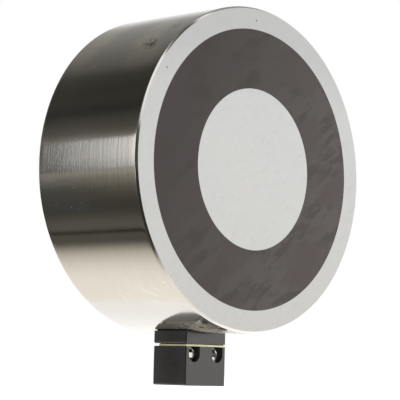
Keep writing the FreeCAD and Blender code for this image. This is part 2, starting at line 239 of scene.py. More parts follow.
# A dark card to the left of the drum and behind it, which the terminal block's left face mirrors: its
# X, and how bright it is along Y and up Z in metres
CARD_X = -0.152
CARD_ALONG = ((0.105, 1.0), (0.30, 1.0))
CARD_UP = ((-0.077, 0.055), (-0.03, 0.065), (-0.005, 0.20))

# Drum
SEGMENTS = 288
POLE_RADIUS = 24.75 * MM
BASE_THICKNESS = 10.0 * MM
EDGE_CHAMFER = 0.6 * MM
EDGE_ROUNDING = 0.6 * MM
EDGE_STEPS = 5
SIDE_ROWS = 24
SHARP_ANGLE = math.radians(25)
SAME_PLACE = 0.0001 * MM

# The drum's finishes, in the order of its material slots
SIDE, EDGE, POLE, BACK, HOLE = range(5)

# Cross holes under the terminal block: places in millimetres, radii and depths, and how far each drill
# starts below the drum and how far the leads' drill reaches into the groove
LEAD_HOLES = ((-5.1, -12.2), (5.1, -12.2))
LEAD_HOLE_RADIUS = 1.1 * MM
TAP_HOLE = (0, -18.375)
TAP_RADIUS = 1.3375 * MM
TAP_DEPTH = 5.0 * MM
DRILL_START = 1.0 * MM
DRILL_REACH = 2.0 * MM
DRILL_SEGMENTS = 48
DRILL_POINT = math.radians(59)

# Mounting thread, M10: its slope and flat shape the wave of its section
THREAD_MINOR_RADIUS = 4.25 * MM
THREAD_MAJOR_RADIUS = 5.0 * MM
THREAD_PITCH = 1.5 * MM
THREAD_DEPTH = 16.5 * MM
THREAD_RUN_OUT = 1.5 * MM
THREAD_STEPS = 10
THREAD_SLOPE = 1.45
THREAD_FLAT = 0.25
HOLE_DEPTH = 20.0 * MM
HOLE_MOUTH_RADIUS = 5.25 * MM

drum_low, drum_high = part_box("magnet_body")
_, ring_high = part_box("potting_ring")
saddle_low, saddle_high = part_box("terminal_saddle")
housing_low, housing_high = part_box("terminal_housing")
DRUM_RADIUS = drum_high.x
FACE_Y = drum_low.y
GROOVE_RADIUS = ring_high.x
RESIN_Y = ring_high.y


def colour(red, green, blue):
    """A colour with full cover."""
    return (red, green, blue, 1.0)


# Tones of the drum's finishes
SIDE_WARM = colour(0.79, 0.765, 0.725)
SIDE_PALE = colour(0.83, 0.815, 0.785)
SIDE_LINE = colour(0.60, 0.58, 0.55)
SIDE_CLEAR = colour(0.635, 0.64, 0.64)
SIDE_PRINTED = colour(0.95, 0.94, 0.90)
SIDE_GREASE = colour(0.42, 0.38, 0.31)
SIDE_GRIME = colour(0.17, 0.14, 0.10)
SIDE_SHADED = colour(0.02, 0.018, 0.016)
SIDE_DUST = colour(0.90, 0.89, 0.86)
EDGE_DARK = colour(0.80, 0.785, 0.76)
EDGE_PALE = colour(0.86, 0.85, 0.83)
POLE_DARK = colour(0.60, 0.61, 0.615)
POLE_PALE = colour(0.685, 0.69, 0.69)
POLE_CLOUD = colour(0.61, 0.63, 0.66)
POLE_OUTER = colour(0.57, 0.575, 0.58)
POLE_UPPER_SHADE = colour(0.50, 0.505, 0.51)
POLE_SCRATCH = colour(0.54, 0.54, 0.54)
POLE_PIT = colour(0.05, 0.045, 0.04)
BACK_DARK = colour(0.62, 0.61, 0.59)
BACK_PALE = colour(0.72, 0.71, 0.69)
HOLE_DARK = colour(0.40, 0.39, 0.37)
HOLE_PALE = colour(0.56, 0.55, 0.53)

# Tones of the resin, the terminal block and the pieces inside
RESIN_PURPLE = colour(0.043, 0.028, 0.029)
RESIN_BROWN = colour(0.044, 0.034, 0.031)
RESIN_PALE = colour(0.064, 0.057, 0.051)
RESIN_DARK = colour(0.018, 0.013, 0.012)
RESIN_SPECK = colour(0.22, 0.20, 0.17)
MOULDING_BLACK = colour(0.0045, 0.0045, 0.0052)
MOULDING_WORN = colour(0.0085, 0.0075, 0.0065)
MOULDING_REAR_LIGHT = colour(0.032, 0.0312, 0.0296)
MOULDING_HOLE_SHADE = colour(0.002, 0.002, 0.002)
BOARD_DARK = colour(0.67, 0.63, 0.36)
BOARD_PALE = colour(0.78, 0.74, 0.51)
COPPER_DARK = colour(0.35, 0.12, 0.05)
COPPER_PALE = colour(0.72, 0.32, 0.16)
LEAD_DARK = colour(0.42, 0.03, 0.025)
LEAD_PALE = colour(0.52, 0.05, 0.04)
LEAD_TINNED = colour(0.75, 0.74, 0.72)

# Plain finishes: two tones, and the least and the most roughness
NICKEL = (colour(0.90, 0.89, 0.86), colour(0.96, 0.95, 0.93), 0.20, 0.30)
ZINC = (colour(0.76, 0.77, 0.79), colour(0.88, 0.88, 0.89), 0.16, 0.26)
SPRING_STEEL = (colour(0.55, 0.56, 0.58), colour(0.66, 0.67, 0.68), 0.25, 0.35)
SLEEVING = (colour(0.76, 0.74, 0.68), colour(0.84, 0.82, 0.77), 0.4, 0.5)
NYLON = (colour(0.70, 0.68, 0.60), colour(0.78, 0.76, 0.69), 0.4, 0.5)
TAPE = (colour(0.66, 0.46, 0.08), colour(0.76, 0.56, 0.14), 0.15, 0.25)

# Marks on the drum's side: the places of hazy patches, of a fingerprint, of smudges, of grease beside
# the terminal block and of dust, as the angle up from -X, the y and the reach in millimetres
SIDE_HAZE = (
    (61, -7.5, 4.0),
    (52, -6.0, 4.0),
    (42, -5.0, 3.0),
    (56, -30.0, 2.5),
    (47, -30.0, 3.2),
    (37, -33.0, 4.2),
)
SIDE_PRINT = ((-49, -37, 2.0), (-52, -31, 2.5), (-53, -20, 0.5))
SIDE_SMUDGES = ((45, -31.5, 0.8), (43.5, -34, 1.0), (54.5, -36.5, 0.3))
SIDE_SMEAR = ((-84, -32, 9.0),)
SIDE_DUSTY = ((-6, -11, 5.0),)

# The fingerprint's loops: their centre, as the angle up from -X and the y, and how far apart they lie
PRINT_CENTRE = (-40, -39)
PRINT_SPACING = 1.7 * MM

# The painted shade line on the drum where the saddle meets it: how far it reaches to the sides and ahead,
# and where it is full and ends up Z
SADDLE_ASIDE = 0.8 * MM
SADDLE_AHEAD = 2.4 * MM
SADDLE_UP = (-40 * MM, -30 * MM)

# Small dark pits in the outer pole's face, in millimetres
POLE_PITS = ((-38.7, 26.2), (-0.5, 46.0))

# Where a tone begins and where it is full or gone: up Z on the drum's side and on the poles' painted shade,
# along a slant on the resin's painted shade, along Y on the terminal block's painted light and on the leads
CLEAR_UP = (22 * MM, 32 * MM)
POLE_SHADE_UP = (20 * MM, 38 * MM)
SHADE_SLANT = (0.9, 0, -0.45)
SHADE_ALONG = (-34 * MM, 30 * MM)
REAR_LIGHT_ALONG = (-17.0 * MM, -13.5 * MM)
BARED_ALONG = (-14.0 * MM, -13.9 * MM)

# How softly a speck's edge fades, as a share of its radius, and how softly a cell is chosen for one
SPECK_EDGE = 0.3
SPECK_CHOICE = 0.02

# Phase of a wave texture in each unit of its scaled coordinates
WAVE_PHASE = 20


class Shading:
    """A node tree being filled, with short names for the nodes that it uses."""

    def __init__(self, tree):
        self.tree = tree

    def node(self, kind, sockets=None, **settings):
        """Adds a node, sets its properties, and sets or links its sockets."""
        made = self.tree.nodes.new(kind)
        for key, value in settings.items():
            setattr(made, key, value)
        for key, value in (sockets or {}).items():
            self.put(made.inputs[key], value)
        return made

    def put(self, socket, value):
        """Links a socket to another, or sets it to a value."""
        if isinstance(value, bpy.types.NodeSocket):
            self.tree.links.new(value, socket)
        else:
            socket.default_value = value

    def sum(self, operation, first, second=0.0):
        """One sum of two numbers."""
        return self.node("ShaderNodeMath", {0: first, 1: second}, operation=operation).outputs[0]

    def plus(self, first, second):
        """Two numbers added."""
        return self.sum("ADD", first, second)

    def less(self, first, second):
        """The second number taken from the first."""
        return self.sum("SUBTRACT", first, second)

    def times(self, first, second):
        """Two numbers multiplied."""
        return self.sum("MULTIPLY", first, second)

    def larger(self, first, second):
        """The larger of two numbers."""
        return self.sum("MAXIMUM", first, second)

    def spread(self, value, low, high, out_low, out_high):
        """Maps one range of numbers to another, held at its ends."""
        sockets = {
            "Value": value,
            "From Min": low,
            "From Max": high,
            "To Min": out_low,
            "To Max": out_high,
        }
        return self.node("ShaderNodeMapRange", sockets).outputs[0]


class Finish(Shading):
    """A material being made. Its scales are about the number of grains or lines in a metre."""

    def __init__(self, name):
        self.material = bpy.data.materials.new(name)
        self.material.use_nodes = True
        super().__init__(self.material.node_tree)
        self.shader = self.tree.nodes["Principled BSDF"]
        self.place = self.node("ShaderNodeTexCoord").outputs["Object"]

    def set(self, **values):
        """Sets or links the main shader's sockets, named with _ for a space."""
        for key, value in values.items():
            self.put(self.shader.inputs[key.replace("_", " ")], value)

    def noise(self, scale, detail=3.0, roughness=0.6, distortion=0.0, stretch=(1, 1, 1), shift=(0, 0, 0)):
        """Noise from 0 to 1, its grain stretched along the axes."""
        mapping = self.node("ShaderNodeMapping", {"Vector": self.place, "Scale": stretch, "Location": shift})
        sockets = {
            "Vector": mapping.outputs[0],
            "Scale": scale,
            "Detail": detail,
            "Roughness": roughness,
            "Distortion": distortion,
        }
        return self.node("ShaderNodeTexNoise", sockets).outputs["Fac"]

    def lines(self, coordinate, scale, detail):
        """Noise that runs in lines across one coordinate."""
        sockets = {"W": self.times(coordinate, scale), "Scale": 1.0, "Detail": detail}
        return self.node("ShaderNodeTexNoise", sockets, noise_dimensions="1D").outputs["Fac"]

    def strokes(self, scale, degrees, length, detail):
        """Noise from 0 to 1 in strokes on the faces, turned from X towards Z and stretched."""
        turn = (0, -math.radians(degrees), 0)
        sockets = {"Vector": self.place, "Rotation": turn, "Scale": (length, 1, 1)}
        mapping = self.node("ShaderNodeMapping", sockets, vector_type="TEXTURE")
        grain = {"Vector": mapping.outputs[0], "Scale": scale, "Detail": detail, "Roughness": 0.6}
        return self.node("ShaderNodeTexNoise", grain).outputs["Fac"]

    def vary(self, noise, low, high, reach=0.2):
        """Maps the middle of a noise, within a reach of 0.5, to a range."""
        return self.spread(noise, 0.5 - reach, 0.5 + reach, low, high)

    def rings(self, centre, spacing):
        """Uneven rings round a place, from 0 to 1."""
        moved = self.node("ShaderNodeVectorMath", {0: self.place, 1: centre}, operation="SUBTRACT")
        sockets = {
            "Vector": moved.outputs[0],
            "Scale": math.tau / WAVE_PHASE / spacing,
            "Distortion": 8.0,
            "Detail": 1.5,
            "Detail Scale": 0.35,
        }
        made = self.node("ShaderNodeTexWave", sockets, wave_type="RINGS", rings_direction="SPHERICAL")
        return made.outputs["Fac"]

    def specks(self, spacing, radius, share):
        """Small round specks, one in a share of the cells of a grid: 1 in a speck and 0 elsewhere."""
        cells = self.node("ShaderNodeTexVoronoi", {"Vector": self.place, "Scale": 1 / spacing})
        size = radius / spacing
        fade = size * SPECK_EDGE
        near = self.spread(cells.outputs["Distance"], size - fade, size + fade, 1, 0)
        chance = self.node("ShaderNodeSeparateColor", {0: cells.outputs["Color"]}).outputs[0]
        return self.times(near, self.spread(chance, 1 - share, 1 - share + SPECK_CHOICE, 0, 1))

    def axis(self, name):
        """One coordinate of the place on the object."""
        return self.node("ShaderNodeSeparateXYZ", {0: self.place}).outputs[name]

    def radius(self):
        """Distance from the drum's axis."""
        flat = self.node("ShaderNodeVectorMath", {0: self.place, 1: (1, 0, 1)}, operation="MULTIPLY")
        return self.node("ShaderNodeVectorMath", {0: flat.outputs[0]}, operation="LENGTH").outputs["Value"]

    def spot(self, place, reach, fade):
        """1 within reach of a place, falling to 0 over the fade beyond it."""
        away = self.node("ShaderNodeVectorMath", {0: self.place, 1: place}, operation="DISTANCE")
        return self.spread(away.outputs["Value"], reach, reach + fade, 1, 0)

    def spots(self, places, fade):
        """The most of several spots on the drum's side."""
        most = 0.0
        for degrees, y, reach in places:
            most = self.larger(most, self.spot(on_side(degrees, y), reach * MM, fade))
        return most

    def within(self, name, low, high, fade):
        """1 where a coordinate lies between low and high, falling to 0 over the fade beyond them."""
        away = self.sum("ABSOLUTE", self.less(self.axis(name), (low + high) / 2))
        return self.spread(away, (high - low) / 2, (high - low) / 2 + fade, 1, 0)

    def blend(self, factor, first, second):
        """Mixes two colours."""
        return self.node("ShaderNodeMix", {0: factor, 6: first, 7: second}, data_type="RGBA").outputs[2]

    def bump(self, height, distance, under=None):
        """A normal raised by a height, on top of another bump."""
        sockets = {"Height": height, "Distance": distance, "Strength": 1.0}
        if under is not None:
            sockets["Normal"] = under
        return self.node("ShaderNodeBump", sockets).outputs[0]


def on_side(degrees, y):
    """A place on the drum's side, by its angle up from -X and its y in millimetres."""
    angle = math.radians(degrees)
    return (-DRUM_RADIUS * math.cos(angle), y * MM, DRUM_RADIUS * math.sin(angle))


# Finishes of the drum


def clear_part(finish):
    """The upper side without its hazy patches."""
    upper = finish.spread(finish.axis("Z"), *CLEAR_UP, 0, 1)
    return finish.times(upper, finish.less(1.0, finish.spots(SIDE_HAZE, 4 * MM)))


def fingerprint(finish):
    """Broken loops on three spots of the side."""
    loops = finish.rings(on_side(*PRINT_CENTRE), PRINT_SPACING)
    gaps = finish.noise(170, distortion=1.0, shift=(0.2, 0.5, 0.1))
    broken = finish.spread(gaps, 0.48, 0.62, 0, 0.6)
    return finish.times(finish.spots(SIDE_PRINT, 4 * MM), finish.times(loops, broken))


def smudges(finish):
    """Small dark blots on the upper side."""
    blot = finish.spread(finish.noise(430, distortion=1.5), 0.44, 0.52, 0, 1)
    return finish.times(finish.spots(SIDE_SMUDGES, 1.8 * MM), blot)


def dust_flecks(finish):
    """Pale flecks: many on one patch of the side, and a few all over."""
    many = finish.specks(1.7 * MM, 0.16 * MM, 0.5)
    few = finish.specks(5 * MM, 0.12 * MM, 0.4)
    return finish.larger(finish.times(finish.spots(SIDE_DUSTY, 9 * MM), many), few)


def saddle_painted_shade(finish):
    """Painted contact shade: 1 on the lower side over the saddle and a little beside and ahead of it, and 0
    beyond that.
    """
    across = finish.within("X", saddle_low.x - SADDLE_ASIDE, saddle_high.x + SADDLE_ASIDE, SADDLE_ASIDE / 2)
    along = finish.within("Y", saddle_low.y - SADDLE_AHEAD, saddle_high.y - SADDLE_AHEAD, SADDLE_AHEAD / 2)
    lower = finish.spread(finish.axis("Z"), *SADDLE_UP, 1, 0)
    return finish.times(finish.times(across, along), lower)


def turned_side():
    """Polished outside: the lathe's fine lines round it, and the marks of handling."""
    finish = Finish("turned side")
    fine = finish.lines(finish.axis("Y"), 3400, detail=3)
    coarse = finish.lines(finish.axis("Y"), 800, detail=2)
    streak = finish.noise(620, stretch=(1, 3.4, 1))
    haze = finish.noise(38, roughness=0.55)
    smear = finish.noise(150, distortion=1.0, shift=(0.1, 0.4, 0.2))

    tone = finish.blend(finish.vary(haze, 0, 1, reach=0.15), SIDE_WARM, SIDE_PALE)
    tone = finish.blend(finish.vary(fine, 0, 0.22), tone, SIDE_LINE)
    tone = finish.blend(finish.vary(coarse, 0, 0.10), tone, SIDE_LINE)
    tone = finish.blend(clear_part(finish), tone, SIDE_CLEAR)
    tone = finish.blend(fingerprint(finish), tone, SIDE_PRINTED)
    smudge = smudges(finish)
    tone = finish.blend(finish.times(smudge, 0.85), tone, SIDE_GRIME)
    beside_block = finish.spots(SIDE_SMEAR, 5 * MM)
    grease = finish.times(beside_block, finish.vary(smear, 0, 1, reach=0.08))
    tone = finish.blend(finish.times(grease, 0.55), tone, SIDE_GREASE)
    # Painted shade: a dark line on the drum where the saddle meets it
    tone = finish.blend(saddle_painted_shade(finish), tone, SIDE_SHADED)
    dust = dust_flecks(finish)
    tone = finish.blend(dust, tone, SIDE_DUST)
    film = finish.plus(finish.times(dust, 0.9), finish.times(grease, 0.30))

    rough = finish.plus(finish.vary(haze, 0.06, 0.14, reach=0.4), finish.vary(fine, 0, 0.05))
    for mark, more in ((beside_block, 0.05), (grease, 0.20), (smudge, 0.25)):
        rough = finish.plus(rough, finish.times(mark, more))
    relief = finish.bump(coarse, 6 * MICRON)
    relief = finish.bump(fine, 2 * MICRON, relief)
    relief = finish.bump(streak, 9 * MICRON, relief)
    tangent = finish.node("ShaderNodeTangent", direction_type="RADIAL", axis="Y").outputs[0]
    finish.set(Base_Color=tone, Roughness=rough, Normal=relief, Tangent=tangent)
    finish.set(Metallic=finish.less(1.0, film), Anisotropic=0.6, Anisotropic_Rotation=0.25)
    return finish.material


def turned_edge():
    """The chamfers, bright from the tool."""
    finish = Finish("turned edge")
    lined = finish.lines(finish.radius(), 9000, detail=2)
    tone = finish.blend(lined, EDGE_DARK, EDGE_PALE)
    finish.set(Base_Color=tone, Metallic=1.0, Roughness=finish.vary(lined, 0.12, 0.2))
    return finish.material


def ground_pole():
    """Ground pole faces: pale, even and faintly mottled, with a few scratches and pits, and painted shade
    towards the top.
    """
    finish = Finish("ground pole")
    mottle = finish.noise(420, detail=4, roughness=0.65)
    cloud = finish.noise(30)
    tone = finish.blend(finish.vary(mottle, 0, 1), POLE_DARK, POLE_PALE)
    tone = finish.blend(finish.spread(cloud, 0.35, 0.7, 0, 0.35), tone, POLE_CLOUD)
    outer = finish.spread(finish.radius(), GROOVE_RADIUS - MM, GROOVE_RADIUS, 0, 0.3)
    tone = finish.blend(outer, tone, POLE_OUTER)
    # Painted shade: the faces darker towards their top
    upper = finish.spread(finish.axis("Z"), *POLE_SHADE_UP, 0, 0.5)
    tone = finish.blend(upper, tone, POLE_UPPER_SHADE)
    scratches = finish.strokes(760, degrees=30, length=3, detail=5)
    tone = finish.blend(finish.spread(scratches, 0.54, 0.68, 0, 0.35), tone, POLE_SCRATCH)
    for x, z in POLE_PITS:
        pit = finish.spot((x * MM, FACE_Y, z * MM), 0.12 * MM, 0.25 * MM)
        tone = finish.blend(pit, tone, POLE_PIT)
    relief = finish.bump(mottle, 8 * MICRON)
    finish.set(Base_Color=tone, Metallic=1.0, Roughness=finish.vary(mottle, 0.34, 0.44), Normal=relief)
    return finish.material


def turned_back():
    """Faced back, with the tool's rings round the axis."""
    finish = Finish("turned back")
    rings = finish.lines(finish.radius(), 1300, detail=1)
    tone = finish.blend(finish.vary(rings, 0, 1), BACK_DARK, BACK_PALE)
    rough = finish.vary(finish.noise(40), 0.23, 0.39, reach=0.4)
    relief = finish.bump(rings, 8 * MICRON)
    finish.set(Base_Color=tone, Metallic=1.0, Roughness=rough, Normal=relief)
    return finish.material


def cut_hole():
    """Drilled and tapped walls, a little oily."""
    finish = Finish("cut hole")
    marks = finish.noise(900)
    tone = finish.blend(marks, HOLE_DARK, HOLE_PALE)
    finish.set(Base_Color=tone, Metallic=1.0, Roughness=finish.vary(marks, 0.25, 0.4))
    return finish.material


# Finishes of the resin, the terminal block and the pieces inside


def resin():
    """Cast resin, ground flat with the poles: patches of two tones, rubbed darker in short strokes, and
    painted shade darker towards its upper left.
    """
    finish = Finish("potting resin")
    grain = finish.noise(700, detail=4, roughness=0.7)
    cast = finish.noise(34, roughness=0.55, distortion=0.6)
    patch = finish.spread(finish.strokes(72, degrees=34, length=2.2, detail=7), 0.46, 0.53, 0, 1)
    rubbed = finish.spread(finish.strokes(360, degrees=34, length=3.2, detail=4), 0.50, 0.60, 0, 0.6)
    tone = finish.blend(finish.vary(cast, 0, 1, reach=0.15), RESIN_PURPLE, RESIN_BROWN)
    tone = finish.blend(finish.times(patch, 0.75), tone, RESIN_PALE)
    tone = finish.blend(finish.times(rubbed, patch), tone, RESIN_DARK)
    # Painted shade: the resin darker towards its upper left, along a slant
    places = {0: finish.place, 1: SHADE_SLANT}
    slant = finish.node("ShaderNodeVectorMath", places, operation="DOT_PRODUCT").outputs["Value"]
    tone = finish.blend(finish.spread(slant, *SHADE_ALONG, 0.8, 0), tone, RESIN_DARK)
    tone = finish.blend(finish.specks(7 * MM, 0.16 * MM, 0.35), tone, RESIN_SPECK)
    rough = finish.spread(patch, 0, 1, 0.42, 0.50)
    finish.set(Base_Color=tone, Roughness=rough, Normal=finish.bump(grain, 6 * MICRON))
    return finish.material


def moulding():
    """Satin black plastic, duller on its left and right, with painted light at its rear and painted black
    shade in its holes.
    """
    finish = Finish("black moulding")
    grain = finish.noise(1500)
    haze = finish.noise(160)
    edge = 0.1 * MM
    between_sides = finish.within("X", housing_low.x + 0.2 * MM, housing_high.x - 0.2 * MM, edge)
    across = finish.within("X", housing_low.x + MM, housing_high.x - MM, edge)
    along = finish.within("Y", housing_low.y + 0.3 * MM, housing_high.y - MM, edge)
    up = finish.within("Z", housing_low.z + 2 * MM, housing_high.z, MM)
    # Painted shade: the holes and channels inside the block made black
    inside = finish.times(across, finish.times(along, up))

    tone = finish.blend(finish.vary(haze, 0, 1), MOULDING_BLACK, MOULDING_WORN)
    # Painted light: the block lighter towards its rear
    rear_light = finish.spread(finish.axis("Y"), *REAR_LIGHT_ALONG, 0, 0.9)
    tone = finish.blend(rear_light, tone, MOULDING_REAR_LIGHT)
    tone = finish.blend(inside, tone, MOULDING_HOLE_SHADE)
    rough = finish.plus(finish.vary(haze, 0.20, 0.27), finish.spread(between_sides, 0, 1, 0.05, 0))
    rough = finish.larger(rough, finish.times(inside, 0.9))
    finish.set(Base_Color=tone, Roughness=rough, Normal=finish.bump(grain, 6 * MICRON))
    finish.set(Specular_IOR_Level=1.0, IOR=1.57)
    return finish.material


def board():
    """Pale yellow laminated sheet."""
    finish = Finish("insulating board")
    fibre = finish.noise(900, detail=4, stretch=(1, 1, 4))
    tone = finish.blend(fibre, BOARD_DARK, BOARD_PALE)
    finish.set(Base_Color=tone, Roughness=0.5, Normal=finish.bump(fibre, 8 * MICRON))
    return finish.material


def plain(name, dark, pale, smooth, rough, metallic, scale):
    """A finish whose tone and gloss are a little uneven."""
    finish = Finish(name)
    marks = finish.noise(scale)
    tone = finish.blend(finish.vary(marks, 0, 1), dark, pale)
    finish.set(Base_Color=tone, Metallic=metallic, Roughness=finish.vary(marks, smooth, rough))
    return finish.material


def plated(name, *values):
    """Plated metal."""
    return plain(name, *values, metallic=1.0, scale=500)


def plain_plastic(name, *values):
    """Moulded plastic, tape or sleeving."""
    return plain(name, *values, metallic=0.0, scale=300)


def winding():
    """Layers of enamelled wire, as fine turns side by side."""
    finish = Finish("copper winding")
    wave = finish.node("ShaderNodeTexWave", {"Vector": finish.place, "Scale": 600.0}, bands_direction="Y")
    turns = wave.outputs["Fac"]
    tone = finish.blend(turns, COPPER_DARK, COPPER_PALE)
    finish.set(Base_Color=tone, Metallic=1.0, Roughness=0.3, Normal=finish.bump(turns, 40 * MICRON))
    return finish.material


def lead():
    """Red insulation that gives way to the tinned core inside the terminal."""
    finish = Finish("lead")
    bare = finish.spread(finish.axis("Y"), *BARED_ALONG, 1, 0)
    skin = finish.blend(finish.noise(800), LEAD_DARK, LEAD_PALE)
    tone = finish.blend(bare, skin, LEAD_TINNED)
    finish.set(Base_Color=tone, Metallic=bare, Roughness=0.35)
    return finish.material


# Shapes


def new_object(name, data):
    """Adds an object with this data to the scene."""
    made = bpy.data.objects.new(name, data)
    bpy.context.scene.collection.objects.link(made)
    return made


def mesh_data(name, mesh, finishes):
    """Turns a finished mesh into an object's data."""
    data = bpy.data.meshes.new(name)
    mesh.to_mesh(data)
    mesh.free()
    for finish in finishes:
        data.materials.append(finish)
    return data


def rounded_corner(before, corner, after, radius):
    """Points of an arc that rounds the corner between two straight runs."""
    corner = Vector(corner)
    to_before = (Vector(before) - corner).normalized()
    to_after = (Vector(after) - corner).normalized()
    half = to_before.angle(to_after) / 2
    reach = radius / math.tan(half)
    centre = corner + (to_before + to_after).normalized() * (radius / math.sin(half))
    start = (corner + to_before * reach - centre).normalized()
    end = (corner + to_after * reach - centre).normalized()
    return [centre + start.slerp(end, step / EDGE_STEPS) * radius for step in range(EDGE_STEPS + 1)]


def held(value):
    """A value kept from 0 to 1."""
    return min(max(value, 0.0), 1.0)


def thread_radius(y, turn):
    """Radius of the mounting thread's wall at a depth and a share of a turn."""
    phase = (-y / THREAD_PITCH - turn) % 1.0
    wave = (0.5 - abs(phase - 0.5)) * 2
    rise = held(wave * THREAD_SLOPE - THREAD_FLAT)
    fade = held((THREAD_DEPTH + y) / THREAD_RUN_OUT)
    wall = THREAD_MINOR_RADIUS + (THREAD_MAJOR_RADIUS - THREAD_MINOR_RADIUS) * rise * fade
    return max(wall, HOLE_MOUTH_RADIUS + y)


def turned(name, rows, finishes):
    """A closed turned mesh. A row is a radius, a y and the finish of the band that follows it.

    A radius may also be a function of y and the share of a turn.
    """
    mesh = bmesh.new()
    rings = []
    for radius, y, _ in rows:
        ring = []
        for step in range(SEGMENTS):
            turn = step / SEGMENTS
            distance = radius(y, turn) if callable(radius) else radius
            angle = turn * math.tau
            ring.append(mesh.verts.new((distance * math.cos(angle), y, distance * math.sin(angle))))
        rings.append(ring)
    for (_, _, finish), ring, after in zip(rows, rings, rings[1:] + rings[:1]):
        for step in range(SEGMENTS):
            beside = (step + 1) % SEGMENTS
            face = mesh.faces.new((ring[step], ring[beside], after[beside], after[step]))
            face.material_index = finish
            face.smooth = True
    bmesh.ops.remove_doubles(mesh, verts=mesh.verts, dist=SAME_PLACE)
    bmesh.ops.recalc_face_normals(mesh, faces=mesh.faces)
    data = mesh_data(name, mesh, finishes)
    data.set_sharp_from_angle(angle=SHARP_ANGLE)
    return new_object(name, data)


def drum_rows():
    """The pot's section, from the drill point round the back, the side and the face."""
    point_y = -HOLE_DEPTH - THREAD_MINOR_RADIUS / math.tan(DRILL_POINT)
    rows = [(0, point_y, HOLE), (THREAD_MINOR_RADIUS, -HOLE_DEPTH, HOLE)]
    for step in range(int(THREAD_DEPTH / THREAD_PITCH * THREAD_STEPS), 0, -1):
        rows.append((thread_radius, -step * THREAD_PITCH / THREAD_STEPS, HOLE))

    inner = DRUM_RADIUS - EDGE_CHAMFER
    rim = (DRUM_RADIUS, FACE_Y / 2)
    back = rounded_corner((inner, 0), (DRUM_RADIUS, -EDGE_CHAMFER), rim, EDGE_ROUNDING)
    front = rounded_corner((inner, FACE_Y), (DRUM_RADIUS, FACE_Y + EDGE_CHAMFER), rim, EDGE_ROUNDING)
    rows += [(HOLE_MOUTH_RADIUS, 0, BACK), (inner, 0, EDGE)]
    rows += [(point.x, point.y, EDGE) for point in back[:-1]]
    start, end = back[-1].y, front[-1].y
    rows += [(DRUM_RADIUS, start + (end - start) * row / SIDE_ROWS, SIDE) for row in range(SIDE_ROWS)]
    rows += [(point.x, point.y, EDGE) for point in front[::-1]]

    rows += [(inner, FACE_Y, POLE), (GROOVE_RADIUS, FACE_Y, HOLE)]
    rows += [(GROOVE_RADIUS, -BASE_THICKNESS, HOLE), (POLE_RADIUS, -BASE_THICKNESS, HOLE)]
    rows += [(POLE_RADIUS, FACE_Y, POLE), (0, FACE_Y, POLE)]
    return rows


def resin_rows():
    """The resin's section."""
    front = [(POLE_RADIUS, FACE_Y, 0), (GROOVE_RADIUS, FACE_Y, 0)]
    return front + [(GROOVE_RADIUS, RESIN_Y, 0), (POLE_RADIUS, RESIN_Y, 0)]


def upright_rod(mesh, x, y, radius, low, high, point=0.0):
    """Adds a closed upright rod in the drum's hole finish to a mesh, with a point on its upper end."""
    angles = [math.tau * step / DRILL_SEGMENTS for step in range(DRILL_SEGMENTS)]
    rings = []
    for z in (low, high):
        places = [(x + radius * math.cos(angle), y + radius * math.sin(angle), z) for angle in angles]
        rings.append([mesh.verts.new(place) for place in places])
    tip = mesh.verts.new((x, y, high + point))
    mesh.faces.new(rings[0][::-1])
    for step in range(DRILL_SEGMENTS):
        beside = (step + 1) % DRILL_SEGMENTS
        mesh.faces.new((rings[0][step], rings[0][beside], rings[1][beside], rings[1][step]))
        mesh.faces.new((rings[1][step], rings[1][beside], tip))
    for face in mesh.faces:
        face.material_index = HOLE
        face.smooth = True


def cross_drilled(drum):
    """Cuts the holes of the leads and of the fixing screw into the drum."""
    mesh = bmesh.new()
    low = -DRUM_RADIUS - DRILL_START
    for x, y in LEAD_HOLES:
        upright_rod(mesh, x * MM, y * MM, LEAD_HOLE_RADIUS, low, -GROOVE_RADIUS + DRILL_REACH)
    x, y = TAP_HOLE
    point = TAP_RADIUS / math.tan(DRILL_POINT)
    upright_rod(mesh, x * MM, y * MM, TAP_RADIUS, low, -DRUM_RADIUS + TAP_DEPTH, point)
    finishes = [slot.material for slot in drum.material_slots]
    drills = new_object("drills", mesh_data("drills", mesh, finishes))
    cut = drum.modifiers.new("drills", "BOOLEAN")
    cut.operation = "DIFFERENCE"
    cut.solver = "EXACT"
    cut.object = drills
    made = bpy.data.meshes.new_from_object(drum.evaluated_get(bpy.context.evaluated_depsgraph_get()))
    drum.modifiers.clear()
    drum.data = made
    bpy.data.objects.remove(drills)
    made.set_sharp_from_angle(angle=SHARP_ANGLE)


def dress(node, material):
    """Gives a carried-over node its finish."""
    for slot in nodes[node].material_slots:
        slot.material = material


# Pieces of the stage


def only_reflected(thing):
    """Hides a stage piece from all but reflections."""
    thing.visible_camera = False
    thing.visible_diffuse = False
    thing.visible_transmission = False
    thing.visible_volume_scatter = False
    thing.visible_shadow = False


def glow_colour(level, tint):
    """A level of light as a colour, the browner the darker it is."""
    bright, bright_level = tint
    dark = 1 - min(level / bright_level, 1)
    return [level * (pale + (brown - pale) * dark) for pale, brown in zip(bright, DARK_TINT)]


def glow(name):
    """A surface that glows as its mesh's shade says."""
    made = bpy.data.materials.new(name)
    made.use_nodes = True
    made.node_tree.nodes.clear()
    light = Shading(made.node_tree)
    shade = light.node("ShaderNodeAttribute", attribute_name="shade").outputs["Vector"]
    emission = light.node("ShaderNodeEmission", {"Color": shade})
    light.node("ShaderNodeOutputMaterial", {"Surface": emission.outputs[0]})
    return made


